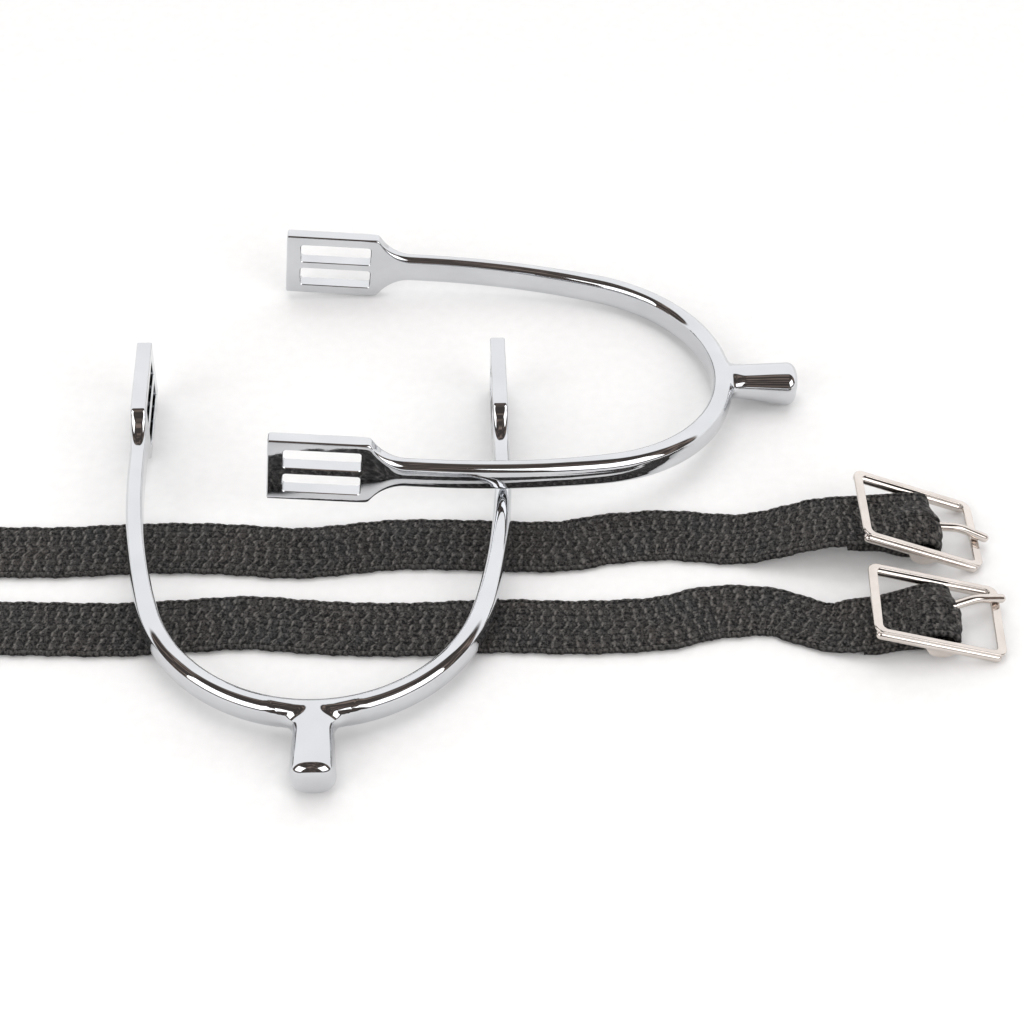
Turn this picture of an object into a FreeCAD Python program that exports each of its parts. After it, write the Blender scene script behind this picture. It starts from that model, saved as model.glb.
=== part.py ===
import FreeCAD, Part
import math
import os

import Sketcher

# A pair of blunt-necked riding spurs with their two nylon spur straps.
#
# Each spur is one casting: a U-shaped heel band, a slotted plate at each open end and a short
# round neck. Each strap is black webbing folded and sewn round the centre bar of a small cast
# buckle with a wire tongue. Millimetres, +Z up, the table at z = 0, and the origin under the
# middle of the box that the two spurs fill.

V = FreeCAD.Vector
X_AXIS, Y_AXIS, Z_AXIS = V(1, 0, 0), V(0, 1, 0), V(0, 0, 1)

os.makedirs("parts", exist_ok=True)
doc = FreeCAD.newDocument("riding_spurs")

# ---------------------------------------------------------------- driving dimensions
SIZES = {
    # heel band, seen from above
    "inner_width": 80.0, "band_thick": 3.7, "heel_thick": 4.7, "band_height": 7.0,
    "heel_radius": 35.5, "heel_inside": 103.7, "arm_straight_end": 36.0,
    "band_round": 2.3,
    # slotted end plates
    "plate_thick": 3.5, "plate_height": 16.4, "plate_length": 22.1,
    "shoulder_end": 31.0, "shoulder_radius": 9.5, "shoulder_corner": 1.2,
    "slot_length": 17.4, "slot_height": 4.9, "slot_front_wall": 3.5, "slot_mid_bar": 1.8,
    "slot_corner": 0.7,
    # neck
    "spur_length": 124.0, "neck_base_radius": 4.4, "neck_tip_radius": 4.8,
    "neck_root": 3.3, "neck_root_depth": 0.7, "neck_root_length": 3.6, "neck_root_bulge": 0.45,
    "neck_edge_round": 2.0,
    # strap webbing
    "web_width": 15.5, "web_thick": 1.7, "fold_length": 15.5, "fold_gap": 0.1,
    "fold_tip": 6.5, "slot_reach": 5.2, "slot_nose": 6.0,
    "thread_radius": 0.3, "stitch_length": 2.1, "stitch_pitch": 3.0, "stitch_inset": 2.6,
    "stitch_row_shift": 1.1, "stitch_lift": 0.01,
    # buckle
    "frame_length": 30.5, "frame_width": 21.5, "side_bar": 2.4, "end_bar": 2.8,
    "frame_thick": 2.0, "frame_corner": 2.6, "frame_round": 0.85,
    "bar_radius": 1.1, "bar_drop": 1.9, "bar_offset": 0.5,
    "lug_half_length": 3.6, "lug_foot": 1.3, "lug_depth": 1.45, "lug_foot_depth": 0.8,
    "lug_inset": 0.25,
    # tongue
    "wire_radius": 0.95, "eye_gap": 0.1, "tongue_kink_x": 8.6, "tongue_kink_rise": 1.95,
    "tongue_tip_x": 16.9, "tongue_tip_rise": 1.05, "tongue_start_x": 0.4, "tongue_bend_trim": 1.6,
}

sheet = doc.addObject("Spreadsheet::Sheet", "sizes")
for row, (alias, value) in enumerate(SIZES.items(), start=1):
    sheet.set(f"A{row}", alias)
    sheet.set(f"B{row}", str(value))
    sheet.setAlias(f"B{row}", alias)
doc.recompute()


def size(alias):
    """The value of one driving dimension."""
    return float(getattr(sheet, alias))


def pose(x, y, z, yaw, pitch=0.0, roll=0.0):
    """A place: turned by roll about Y, then pitch about X, then yaw about Z, then moved."""
    turn = FreeCAD.Rotation(Z_AXIS, yaw)
    turn = turn.multiply(FreeCAD.Rotation(X_AXIS, pitch))
    turn = turn.multiply(FreeCAD.Rotation(Y_AXIS, roll))
    return FreeCAD.Placement(V(x, y, z), turn)


# How the pieces lie on the table: the upper spur leans its near arm on the lower one.
SPUR_POSES = {
    "spur_lower": pose(-34.33, 40.82, 9.58, 2.06, 2.05, 0.78),
    "spur_upper": pose(-44.55, 37.42, 15.00, 90.66, 4.63, 6.13),
}
# Each buckle: its centre bar's place, the strap's heading, the frame's tilt, how its tongue sits,
# the fold's slot for the tongue, and the height of the fold's sewn end above the table.
BUCKLES = {
    "far": {"bar": V(101.95, -9.2, 5.1), "yaw": 1.5, "tilt": 23.0, "skew": 0.0, "eye_y": -1.6,
            "slot_width": 2.7, "slot_y": -1.6, "fold_low": 4.7},
    "near": {"bar": V(103.6, -35.3, 3.25), "yaw": -1.5, "tilt": 14.5, "skew": 21.0, "eye_y": 0.3,
             "slot_width": 4.0, "slot_y": 0.9, "fold_low": 0.08},
}
# The free webbing of each strap from the sewn fold to its cut end: x, y and height of its middle.
ROUTES = {
    "far": [(81.0, -9.75, 7.3), (70.5, -9.8, 3.4), (62.5, -9.4, 0.95), (55.0, -8.7, 0.95),
            (46.0, -7.6, 0.95), (38.0, -8.4, 0.95), (31.0, -9.2, 0.95), (24.0, -11.4, 0.95),
            (14.0, -11.6, 0.95), (-3.0, -10.8, 0.95), (-16.0, -10.7, 0.95),
            (-26.0, -12.3, 0.95), (-38.0, -13.9, 0.95), (-50.0, -12.5, 0.95),
            (-62.0, -11.8, 0.95), (-77.0, -12.2, 0.95), (-90.0, -13.4, 0.95),
            (-105.0, -13.2, 0.95), (-150.0, -14.6, 0.95), (-205.0, -12.0, 0.95),
            (-262.0, -14.4, 0.95), (-310.0, -13.0, 0.95), (-337.0, -12.0, 0.95)],
    "near": [(83.0, -34.76, 2.0), (76.0, -33.8, 0.95), (69.0, -31.2, 0.95),
             (60.0, -31.1, 0.95), (53.0, -31.9, 0.95), (46.0, -34.7, 0.95),
             (38.0, -35.6, 0.95), (24.0, -36.3, 0.95), (8.0, -35.4, 0.95),
             (-10.0, -36.8, 0.95), (-24.0, -36.7, 0.95), (-36.0, -35.8, 0.95),
             (-47.0, -34.4, 0.95), (-60.0, -35.7, 0.95), (-76.0, -37.0, 0.95),
             (-92.0, -36.5, 0.95), (-106.0, -36.3, 0.95), (-150.0, -35.4, 0.95),
             (-196.0, -37.6, 0.95), (-252.0, -35.0, 0.95), (-306.0, -37.2, 0.95),
             (-334.0, -36.4, 0.95)],
}
# The share of the shorter of two straight runs that the arc between them takes up at each end.
RUN_SHARE = 0.45


# ---------------------------------------------------------------- sketch helpers
def origin_plane(body, role):
    return next(f for f in body.Origin.OriginFeatures if f.Role == role)


def new_sketch(body, name, plane, offset=None):
    sketch = body.newObject("Sketcher::SketchObject", name)
    sketch.AttachmentSupport = [(origin_plane(body, plane), "")]
    sketch.MapMode = "FlatFace"
    if offset:
        sketch.AttachmentOffset = offset
    return sketch


def bind(sketch, kind, *args, value, rule):
    """A dimension constraint that follows the sheet."""
    index = sketch.addConstraint(Sketcher.Constraint(kind, *args, value))
    sketch.setExpression(f"Constraints[{index}]", rule)


def draw(sketch, pieces, closed=True):
    """Adds a chain of lines (p, q) and arcs (p, via, q) in the plane, joined end to end.

    Returns each piece's geometry index with the vertex numbers of its two ends."""
    chain = []
    for points in pieces:
        spots = [V(x, y, 0) for x, y in points]
        curve = Part.LineSegment(*spots) if len(spots) == 2 else Part.Arc(*spots)
        index = sketch.addGeometry(curve, False)
        first_is_start = (sketch.getPoint(index, 1) - spots[0]).Length < 1e-6
        chain.append((index, 1, 2) if first_is_start else (index, 2, 1))
    pairs = list(zip(chain, chain[1:]))
    if closed:
        pairs.append((chain[-1], chain[0]))
    for (one, _, one_end), (two, two_start, _) in pairs:
        sketch.addConstraint(Sketcher.Constraint("Coincident", one, one_end, two, two_start))
    return chain


def rectangle(sketch, x0, x1, y0, y1):
    corners = [(x0, y0), (x1, y0), (x1, y1), (x0, y1)]
    return draw(sketch, list(zip(corners, corners[1:] + corners[:1])))


def on_circle(centre, radius, degrees):
    angle = math.radians(degrees)
    return (centre[0] + radius * math.cos(angle), centre[1] + radius * math.sin(angle))


def tangent_touch(centre, radius, point, side):
    """Where the line from a point touches a circle, on its +1 (left) or -1 (right) side."""
    dx, dy = point[0] - centre[0], point[1] - centre[1]
    facing = math.degrees(math.atan2(dy, dx))
    spread = math.degrees(math.acos(radius / math.hypot(dx, dy)))
    return on_circle(centre, radius, facing + side * spread)


# ---------------------------------------------------------------- spur
def band_side(half_width, heel_radius):
    """One side's flank arc, tangent to the straight arm and to the heel arc.

    Returns the heel centre's y, the flank's radius and the bearing of their common point."""
    straight_end = -size("arm_straight_end")
    heel_y = -size("heel_inside") + size("heel_radius")
    drop = straight_end - heel_y
    flank = ((half_width ** 2 + drop ** 2 - heel_radius ** 2)
             / (2 * (half_width - heel_radius)))
    bearing = math.degrees(math.atan2(-drop, flank - half_width))
    return heel_y, flank, bearing


def band_outline(sketch):
    """The U seen from above: outer side, arm ends and inner side."""
    arm_end, straight_end = -size("plate_length"), -size("arm_straight_end")
    inner = size("inner_width") / 2
    outer = inner + size("band_thick")
    pieces = []
    for half, radius, side in ((outer, size("heel_radius") + size("heel_thick"), 1),
                               (inner, size("heel_radius"), -1)):
        heel_y, flank, bearing = band_side(half, radius)
        join = on_circle((0, heel_y), radius, bearing)
        middle = on_circle((half - flank, straight_end), flank, bearing / 2)
        arm = [(half, arm_end), (half, straight_end)]
        near, far = [[(sign * x, y) for x, y in arm + [middle, join]] for sign in (side, -side)]
        pieces += [
            (near[0], near[1]),
            (near[1], near[2], near[3]),
            (near[3], (0, heel_y - radius), far[3]),
            (far[3], far[2], far[1]),
            (far[1], far[0]),
            (far[0], (-side * (inner if side == 1 else outer), arm_end)),
        ]
    chain = draw(sketch, pieces)
    bind(sketch, "Radius", chain[2][0], value=size("heel_radius") + size("heel_thick"),
         rule="sizes.heel_radius + sizes.heel_thick")
    bind(sketch, "Radius", chain[8][0], value=size("heel_radius"), rule="sizes.heel_radius")


def plate_outline(sketch):
    """A plate from the side: its front, its shoulders and the neck where the band takes over."""
    top = size("plate_height") / 2
    band = size("band_height") / 2
    big, small = size("shoulder_radius"), size("shoulder_corner")
    big_centre = (-size("shoulder_end"), band + big)
    rise = big_centre[1] - (top - small)
    small_centre = (big_centre[0] + math.sqrt((big + small) ** 2 - rise ** 2), top - small)
    lean = math.degrees(math.atan2(-rise, small_centre[0] - big_centre[0]))
    join = on_circle(big_centre, big, lean)
    upper = [
        ((0, top), (small_centre[0], top)),
        ((small_centre[0], top), on_circle(small_centre, small, (270 + lean) / 2), join),
        (join, on_circle(big_centre, big, (lean - 90) / 2), (big_centre[0], band)),
    ]
    lower = [tuple((y, -z) for y, z in reversed(points)) for points in reversed(upper)]
    pieces = upper + [((big_centre[0], band), (big_centre[0], -band))] + lower
    pieces.append(((0, -top), (0, top)))
    chain = draw(sketch, pieces)
    for index in (2, 4):
        bind(sketch, "Radius", chain[index][0], value=big, rule="sizes.shoulder_radius")
    for index in (1, 5):
        bind(sketch, "Radius", chain[index][0], value=small, rule="sizes.shoulder_corner")
    bind(sketch, "DistanceY", chain[7][0], 1, chain[7][0], 2, value=2 * top,
         rule="sizes.plate_height")


def plate_slot(sketch, sign):
    """One slot with rounded corners, above (+1) or below (-1) the plate's middle bar."""
    front = -size("slot_front_wall")
    back = front - size("slot_length")
    low = size("slot_mid_bar") / 2
    high = low + size("slot_height")
    corner = size("slot_corner")
    pieces = []
    corners = [(front, low, 270), (front, high, 0), (back, high, 90), (back, low, 180)]
    for index, (y, z, start) in enumerate(corners):
        centre = (y - corner if y == front else y + corner, z + corner if z == low else z - corner)
        arc = [on_circle(centre, corner, start + step) for step in (0, 45, 90)]
        if pieces:
            pieces.append((pieces[-1][-1], arc[0]))
        pieces.append(tuple(arc))
    pieces.append((pieces[-1][-1], pieces[0][0]))
    chain = draw(sketch, [tuple((y, sign * z) for y, z in points) for points in pieces])
    for index in (0, 2, 4, 6):
        bind(sketch, "Radius", chain[index][0], value=corner, rule="sizes.slot_corner")


def pocket_through(body, name, sketch):
    pocket = body.newObject("PartDesign::Pocket", name)
    pocket.Profile = sketch
    pocket.Type = "ThroughAll"
    pocket.Midplane = True
    return pocket


def neck_profile(sketch):
    """Half of the neck's outline on the axis: a buried root, a swelling shank, a blunt tip."""
    tip = -size("spur_length")
    root = -size("heel_inside") - size("neck_root_depth")
    swell = root - size("neck_root_length")
    edge = size("neck_edge_round")
    base_r, tip_r = size("neck_base_radius"), size("neck_tip_radius")
    root_r = size("neck_root")
    lean = math.atan2(base_r - root_r, root - swell)
    out = size("neck_root_bulge")
    bulge = ((base_r + root_r) / 2 + out * math.cos(lean),
             (root + swell) / 2 + out * math.sin(lean))
    edge_centre = (tip_r - edge, tip + edge)
    pieces = [
        ((0, root), (root_r, root)),
        ((root_r, root), bulge, (base_r, swell)),
        ((base_r, swell), (tip_r, tip + edge)),
        ((tip_r, tip + edge), on_circle(edge_centre, edge, -45), (tip_r - edge, tip)),
        ((tip_r - edge, tip), (0, tip)),
        ((0, tip), (0, root)),
    ]
    chain = draw(sketch, pieces)
    bind(sketch, "DistanceX", chain[5][0], 1, chain[2][0], 2, value=tip_r,
         rule="sizes.neck_tip_radius")
    bind(sketch, "Radius", chain[3][0], value=edge, rule="sizes.neck_edge_round")


def edge_names(shape, wanted):
    """Names of the edges whose middle point passes the test."""
    names = []
    for index, edge in enumerate(shape.Edges, start=1):
        middle = edge.valueAt((edge.FirstParameter + edge.LastParameter) / 2)
        if wanted(edge, middle):
            names.append(f"Edge{index}")
    return names


def make_band(label):
    """The U band with its outer edges rounded, and the neck that grows out of the heel."""
    body = doc.addObject("PartDesign::Body", label + "_band")
    outline = new_sketch(body, label + "_plan", "XY_Plane")
    band_outline(outline)
    band = body.newObject("PartDesign::Pad", label + "_bent_bar")
    band.Profile = outline
    band.Midplane = True
    band.setExpression("Length", "sizes.band_height")
    doc.recompute()

    outer_half = size("inner_width") / 2 + size("band_thick")
    outer_heel = size("heel_radius") + size("heel_thick")
    outer_flank = band_side(outer_half, outer_heel)[1]

    def outer_edge(edge, middle):
        if abs(edge.tangentAt(edge.FirstParameter).z) > 0.5:
            return False
        if edge.Curve.TypeId == "Part::GeomCircle":
            return min(abs(edge.Curve.Radius - outer_heel),
                       abs(edge.Curve.Radius - outer_flank)) < 0.01
        return abs(abs(middle.x) - outer_half) < 0.01

    rounding = body.newObject("PartDesign::Fillet", label + "_outer_round")
    rounding.Base = (band, edge_names(band.Shape, outer_edge))
    rounding.setExpression("Radius", "sizes.band_round")
    doc.recompute()

    neck_sketch = new_sketch(body, label + "_neck_outline", "XY_Plane")
    neck_profile(neck_sketch)
    neck = body.newObject("PartDesign::Revolution", label + "_neck")
    neck.Profile = neck_sketch
    neck.ReferenceAxis = (neck_sketch, ["V_Axis"])
    neck.Angle = 360
    return body


def make_plates(label):
    """Both slotted plates: one block, cleared between the arms and tapered to the band."""
    body = doc.addObject("PartDesign::Body", label + "_plates")
    profile = new_sketch(body, label + "_plate_outline", "YZ_Plane")
    plate_outline(profile)
    block = body.newObject("PartDesign::Pad", label + "_plate_block")
    block.Profile = profile
    block.Midplane = True
    block.setExpression("Length", "sizes.inner_width + 2 * sizes.plate_thick")

    inner = size("inner_width") / 2
    outer = inner + size("plate_thick")
    back = -size("shoulder_end")
    plan = new_sketch(body, label + "_clearance_outline", "XY_Plane")
    chain = rectangle(plan, -inner, inner, back - 1, 1)
    bind(plan, "DistanceX", chain[0][0], 1, chain[0][0], 2, value=2 * inner,
         rule="sizes.inner_width")
    flat_top = inner + size("band_thick") - size("band_round")
    for side in (-1, 1):
        taper = [(outer, -size("plate_length")), (flat_top, back), (flat_top, back - 1),
                 (outer + 1, back - 1), (outer + 1, -size("plate_length"))]
        taper = [(side * x, y) for x, y in taper]
        draw(plan, list(zip(taper, taper[1:] + taper[:1])))
    pocket_through(body, label + "_clearance", plan)

    slots = new_sketch(body, label + "_slot_outline", "YZ_Plane")
    plate_slot(slots, 1)
    plate_slot(slots, -1)
    pocket_through(body, label + "_slots", slots)
    return body


def make_spur(label):
    spur = doc.addObject("Part::MultiFuse", label)
    spur.Label = label
    spur.Shapes = [make_band(label), make_plates(label)]
    spur.Placement = SPUR_POSES[label]
    return spur


# ---------------------------------------------------------------- strap
def fold_outline(sketch, bar_height, fold_low):
    """The folded end from the side: both layers, their turn round the bar and the eye inside."""
    inside = size("bar_radius") + size("fold_gap")
    outside = inside + size("web_thick")
    left = -size("fold_length")
    bottom = fold_low - bar_height
    top = bottom + 2 * size("web_thick")
    centre = (0, 0)
    over = tangent_touch(centre, outside, (left, top), -1)
    under = tangent_touch(centre, outside, (left, bottom), 1)
    outer = [
        ((left, top), over),
        (over, (outside, 0), under),
        (under, (left, bottom)),
        ((left, bottom), (left, top)),
    ]
    share = 1 - size("fold_tip") / size("fold_length")
    middle_height = (top + bottom) / 2 * (1 - share)
    tip = (-size("fold_tip"), middle_height)
    above = tangent_touch(centre, inside, tip, -1)
    below = tangent_touch(centre, inside, tip, 1)
    hole = [(tip, above), (above, (inside, 0), below), (below, tip)]
    outer_chain = draw(sketch, outer)
    hole_chain = draw(sketch, hole)
    bind(sketch, "Radius", outer_chain[1][0], value=outside,
         rule="sizes.bar_radius + sizes.fold_gap + sizes.web_thick")
    bind(sketch, "Radius", hole_chain[1][0], value=inside,
         rule="sizes.bar_radius + sizes.fold_gap")


def make_fold(side):
    buckle = BUCKLES[side]
    label = f"strap_{side}_fold"
    body = doc.addObject("PartDesign::Body", label)
    body.Label = label
    profile = new_sketch(body, label + "_profile", "XZ_Plane")
    fold_outline(profile, buckle["bar"].z, buckle["fold_low"])
    pad = body.newObject("PartDesign::Pad", label + "_width")
    pad.Profile = profile
    pad.Midplane = True
    pad.setExpression("Length", "sizes.web_width")

    opening = new_sketch(body, label + "_tongue_slot_outline", "XY_Plane")
    half = buckle["slot_width"] / 2
    chain = rectangle(opening, -size("slot_reach"), size("slot_nose"), buckle["slot_y"] - half,
                      buckle["slot_y"] + half)
    bind(opening, "DistanceX", chain[0][0], 1, -1, 1, value=size("slot_reach"),
         rule="sizes.slot_reach")
    pocket_through(body, label + "_tongue_slot", opening)
    place = buckle["bar"]
    body.Placement = pose(place.x, place.y, place.z, buckle["yaw"])
    return body


def fold_end(side):
    """Where the single webbing leaves the fold: the middle of the upper layer's end."""
    buckle = BUCKLES[side]
    middle = buckle["fold_low"] + 1.5 * size("web_thick")
    local = V(-size("fold_length"), 0, middle - buckle["bar"].z)
    return pose(*buckle["bar"], buckle["yaw"]).multVec(local)


def route_wire(points):
    """Straight runs joined by tangent arcs, each arc as large as its two runs allow.

    Returns the wire and the radius of each arc."""
    edges, radii = [], []
    last = points[0]
    for before, corner, after in zip(points, points[1:], points[2:]):
        back, ahead = before - corner, after - corner
        trim = RUN_SHARE * min(back.Length, ahead.Length)
        turn = math.pi - back.getAngle(ahead)
        radius = trim / math.tan(turn / 2)
        back.normalize()
        ahead.normalize()
        start, end = corner + back * trim, corner + ahead * trim
        inward = back + ahead
        inward.normalize()
        centre = corner + inward * math.hypot(radius, trim)
        edges.append(Part.LineSegment(last, start).toShape())
        edges.append(Part.Arc(start, centre - inward * radius, end).toShape())
        radii.append(radius)
        last = end
    edges.append(Part.LineSegment(last, points[-1]).toShape())
    return Part.Wire(edges), radii


def make_webbing(side):
    """The free webbing: a flat section, kept level, along its route on the table."""
    label = f"strap_{side}_webbing"
    points = [fold_end(side)] + [V(*spot) for spot in ROUTES[side]]
    wire, radii = route_wire(points)
    wide, thick = size("web_width"), size("web_thick")
    first = points[1] - points[0]
    heading = V(first.x, first.y, 0).normalize()
    across = Z_AXIS.cross(heading)
    corners = [points[0] + across * (a * wide / 2) + V(0, 0, b * thick / 2)
               for a, b in ((-1, -1), (1, -1), (1, 1), (-1, 1))]
    section = Part.makePolygon(corners + corners[:1])
    shell = Part.BRepOffsetAPI.MakePipeShell(wire)
    shell.setBiNormalMode(Z_AXIS)
    shell.setTransitionMode(0)
    shell.add(section, False, False)
    shell.build()
    shell.makeSolid()
    shape = shell.shape()
    expected = wide * thick * wire.Length
    print(f"{label}: length {wire.Length:.1f} mm, volume {shape.Volume:.0f} of {expected:.0f}, "
          f"arc radii {[round(radius) for radius in radii]}")
    feature = doc.addObject("Part::Feature", label)
    feature.Label = label
    feature.Shape = shape
    return feature


def make_stitches(side):
    """Thread lying on the fold's upper layer: two rows along the edges, one row across."""
    buckle = BUCKLES[side]
    outside = size("bar_radius") + size("fold_gap") + size("web_thick")
    left, low = -size("fold_length"), buckle["fold_low"] - buckle["bar"].z
    top = (left, low + 2 * size("web_thick"))
    over = tangent_touch((0, 0), outside, top, -1)
    slope = math.atan2(over[1] - top[1], over[0] - top[0])
    radius, length, pitch = size("thread_radius"), size("stitch_length"), size("stitch_pitch")
    inset, lift = size("stitch_inset"), size("stitch_lift")
    rows = []
    count = int((size("fold_length") - size("slot_reach") - 2 * inset) / pitch) + 1
    for edge_y in (-1, 1):
        for step in range(count):
            rows.append((inset + step * pitch, edge_y * (size("web_width") / 2 - inset), 0))
    across = int((size("web_width") - 2 * inset - length) / pitch) + 1
    for step in range(across):
        rows.append((inset - size("stitch_row_shift"), (step - (across - 1) / 2) * pitch, 90))
    solids = []
    for along, y, turn in rows:
        stitch = Part.makeCylinder(radius, length, V(-length / 2, 0, 0), X_AXIS)
        half = Part.makeBox(length + 2, 4 * radius, 2 * radius, V(-length / 2 - 1, -2 * radius, 0))
        stitch = stitch.common(half)
        stitch.rotate(V(0, 0, 0), Z_AXIS, turn)
        stitch.rotate(V(0, 0, 0), Y_AXIS, -math.degrees(slope))
        stitch.translate(V(top[0] + along * math.cos(slope) - lift * math.sin(slope), y,
                           top[1] + along * math.sin(slope) + lift * math.cos(slope)))
        solids.append(stitch)
    label = f"strap_{side}_stitching"
    feature = doc.addObject("Part::Feature", label)
    feature.Label = label
    feature.Shape = Part.makeCompound(solids)
    feature.Placement = pose(*buckle["bar"], buckle["yaw"])
    return feature


# ---------------------------------------------------------------- buckle
def rounded_rectangle(sketch, x0, x1, y0, y1, corner, rule):
    spots = [(x1 - corner, y0 + corner, 270), (x1 - corner, y1 - corner, 0),
             (x0 + corner, y1 - corner, 90), (x0 + corner, y0 + corner, 180)]
    pieces = []
    for x, y, start in spots:
        arc = [on_circle((x, y), corner, start + step) for step in (0, 45, 90)]
        if pieces:
            pieces.append((pieces[-1][-1], arc[0]))
        pieces.append(tuple(arc))
    pieces.append((pieces[-1][-1], pieces[0][0]))
    chain = draw(sketch, pieces)
    for index in (0, 2, 4, 6):
        bind(sketch, "Radius", chain[index][0], value=corner, rule=rule)


def frame_pose(side, local_y=0.0, skew=0.0):
    """The buckle frame's own place: its centre bar is the origin, the frame lies above it."""
    buckle = BUCKLES[side]
    base = pose(*buckle["bar"], buckle["yaw"], 0.0, buckle["tilt"])
    return base.multiply(pose(0, local_y, 0, skew))


def make_frame(side):
    """Cast frame: a flat rounded rectangle, two lugs below its sides, and the centre bar."""
    label = f"buckle_{side}_frame"
    body = doc.addObject("PartDesign::Body", label)
    body.Label = label
    drop = size("bar_drop")
    wide = size("frame_width") / 2
    x0 = -size("bar_offset") - size("frame_length") / 2
    x1 = x0 + size("frame_length")
    lift = FreeCAD.Placement(V(0, 0, drop), FreeCAD.Rotation())
    outline = new_sketch(body, label + "_outline", "XY_Plane", lift)
    outline.setExpression("AttachmentOffset.Base.z", "sizes.bar_drop")
    rounded_rectangle(outline, x0, x1, -wide, wide, size("frame_corner"), "sizes.frame_corner")
    inner_wide = wide - size("side_bar")
    rounded_rectangle(outline, x0 + size("end_bar"), x1 - size("end_bar"), -inner_wide,
                      inner_wide, size("frame_corner") / 2, "sizes.frame_corner / 2")
    ring = body.newObject("PartDesign::Pad", label + "_ring")
    ring.Profile = outline
    ring.Midplane = True
    ring.setExpression("Length", "sizes.frame_thick")
    doc.recompute()

    rounding = body.newObject("PartDesign::Fillet", label + "_round")
    rounding.Base = (ring, edge_names(ring.Shape, lambda edge, middle:
                                      abs(abs(middle.z - drop) - size("frame_thick") / 2) < 0.01))
    rounding.setExpression("Radius", "sizes.frame_round")
    doc.recompute()

    long_half, foot = size("lug_half_length"), size("lug_foot")
    depth, foot_depth = size("lug_depth"), size("lug_foot_depth")
    lug_outline = new_sketch(body, label + "_lug_outline", "XZ_Plane")
    chain = draw(lug_outline, [
        ((-long_half, drop), (-foot, -foot_depth)),
        ((-foot, -foot_depth), (0, -depth), (foot, -foot_depth)),
        ((foot, -foot_depth), (long_half, drop)),
        ((long_half, drop), (-long_half, drop)),
    ])
    bind(lug_outline, "DistanceX", chain[3][0], 2, chain[3][0], 1, value=2 * long_half,
         rule="2 * sizes.lug_half_length")
    lugs = body.newObject("PartDesign::Pad", label + "_lugs")
    lugs.Profile = lug_outline
    lugs.Midplane = True
    lugs.setExpression("Length", "sizes.frame_width - 2 * sizes.lug_inset")
    doc.recompute()

    window = new_sketch(body, label + "_window_outline", "XY_Plane")
    rectangle(window, -long_half - 1, long_half + 1, -inner_wide, inner_wide)
    clear = body.newObject("PartDesign::Pocket", label + "_window")
    clear.Profile = window
    clear.Type = "ThroughAll"
    clear.Midplane = True
    doc.recompute()

    bar_outline = new_sketch(body, label + "_bar_outline", "XZ_Plane")
    circle = bar_outline.addGeometry(Part.Circle(V(0, 0, 0), Z_AXIS, size("bar_radius")), False)
    bind(bar_outline, "Radius", circle, value=size("bar_radius"), rule="sizes.bar_radius")
    bar = body.newObject("PartDesign::Pad", label + "_bar")
    bar.Profile = bar_outline
    bar.Midplane = True
    bar.setExpression("Length", "sizes.frame_width - sizes.side_bar")
    body.Placement = frame_pose(side)
    return body


def make_tongue(side):
    """Bent wire: an eye round the centre bar and a kinked shank that lies on the end bar."""
    buckle = BUCKLES[side]
    label = f"buckle_{side}_tongue"
    body = doc.addObject("PartDesign::Body", label)
    body.Label = label
    wire = size("wire_radius")
    ring_radius = size("bar_radius") + size("eye_gap") + wire

    eye_section = new_sketch(body, label + "_eye_section", "XY_Plane")
    circle = eye_section.addGeometry(Part.Circle(V(ring_radius, 0, 0), Z_AXIS, wire), False)
    bind(eye_section, "Radius", circle, value=wire, rule="sizes.wire_radius")
    bind(eye_section, "DistanceX", -1, 1, circle, 3, value=ring_radius,
         rule="sizes.bar_radius + sizes.eye_gap + sizes.wire_radius")
    eye = body.newObject("PartDesign::Revolution", label + "_eye")
    eye.Profile = eye_section
    eye.ReferenceAxis = (eye_section, ["V_Axis"])
    eye.Angle = 360
    doc.recompute()

    turn = FreeCAD.Placement(V(0, 0, 0), FreeCAD.Rotation(Y_AXIS, buckle["skew"]))
    path = new_sketch(body, label + "_shank_path", "XZ_Plane", turn)
    end_bar_top = size("bar_drop") + size("frame_thick") / 2
    kink = (size("tongue_kink_x"), end_bar_top + size("tongue_kink_rise"))
    tip = (size("tongue_tip_x"), end_bar_top + size("tongue_tip_rise"))
    start = (size("tongue_start_x"), ring_radius)
    trim = size("tongue_bend_trim")
    to_start = V(start[0] - kink[0], start[1] - kink[1], 0).normalize()
    to_tip = V(tip[0] - kink[0], tip[1] - kink[1], 0).normalize()
    bend_in = (kink[0] + trim * to_start.x, kink[1] + trim * to_start.y)
    bend_out = (kink[0] + trim * to_tip.x, kink[1] + trim * to_tip.y)
    turn_angle = math.pi - to_start.getAngle(to_tip)
    bend_radius = trim / math.tan(turn_angle / 2)
    inward = (to_start + to_tip).normalize()
    reach = math.hypot(bend_radius, trim) - bend_radius
    bend_via = (kink[0] + reach * inward.x, kink[1] + reach * inward.y)
    draw(path, [(start, bend_in), (bend_in, bend_via, bend_out), (bend_out, tip)], closed=False)
    section = new_sketch(body, label + "_shank_section", "YZ_Plane",
                         FreeCAD.Placement(V(0, ring_radius, start[0]), FreeCAD.Rotation()))
    ring = section.addGeometry(Part.Circle(V(0, 0, 0), Z_AXIS, wire), False)
    bind(section, "Radius", ring, value=wire, rule="sizes.wire_radius")
    shank = body.newObject("PartDesign::AdditivePipe", label + "_shank")
    shank.Profile = section
    shank.Spine = path
    doc.recompute()
    body.Placement = frame_pose(side, buckle["eye_y"])
    return body


# ---------------------------------------------------------------- build, check, export
sub_parts = [make_spur("spur_lower"), make_spur("spur_upper")]
for side in BUCKLES:
    sub_parts += [make_webbing(side), make_fold(side), make_stitches(side), make_frame(side),
                  make_tongue(side)]
doc.recompute()

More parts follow.
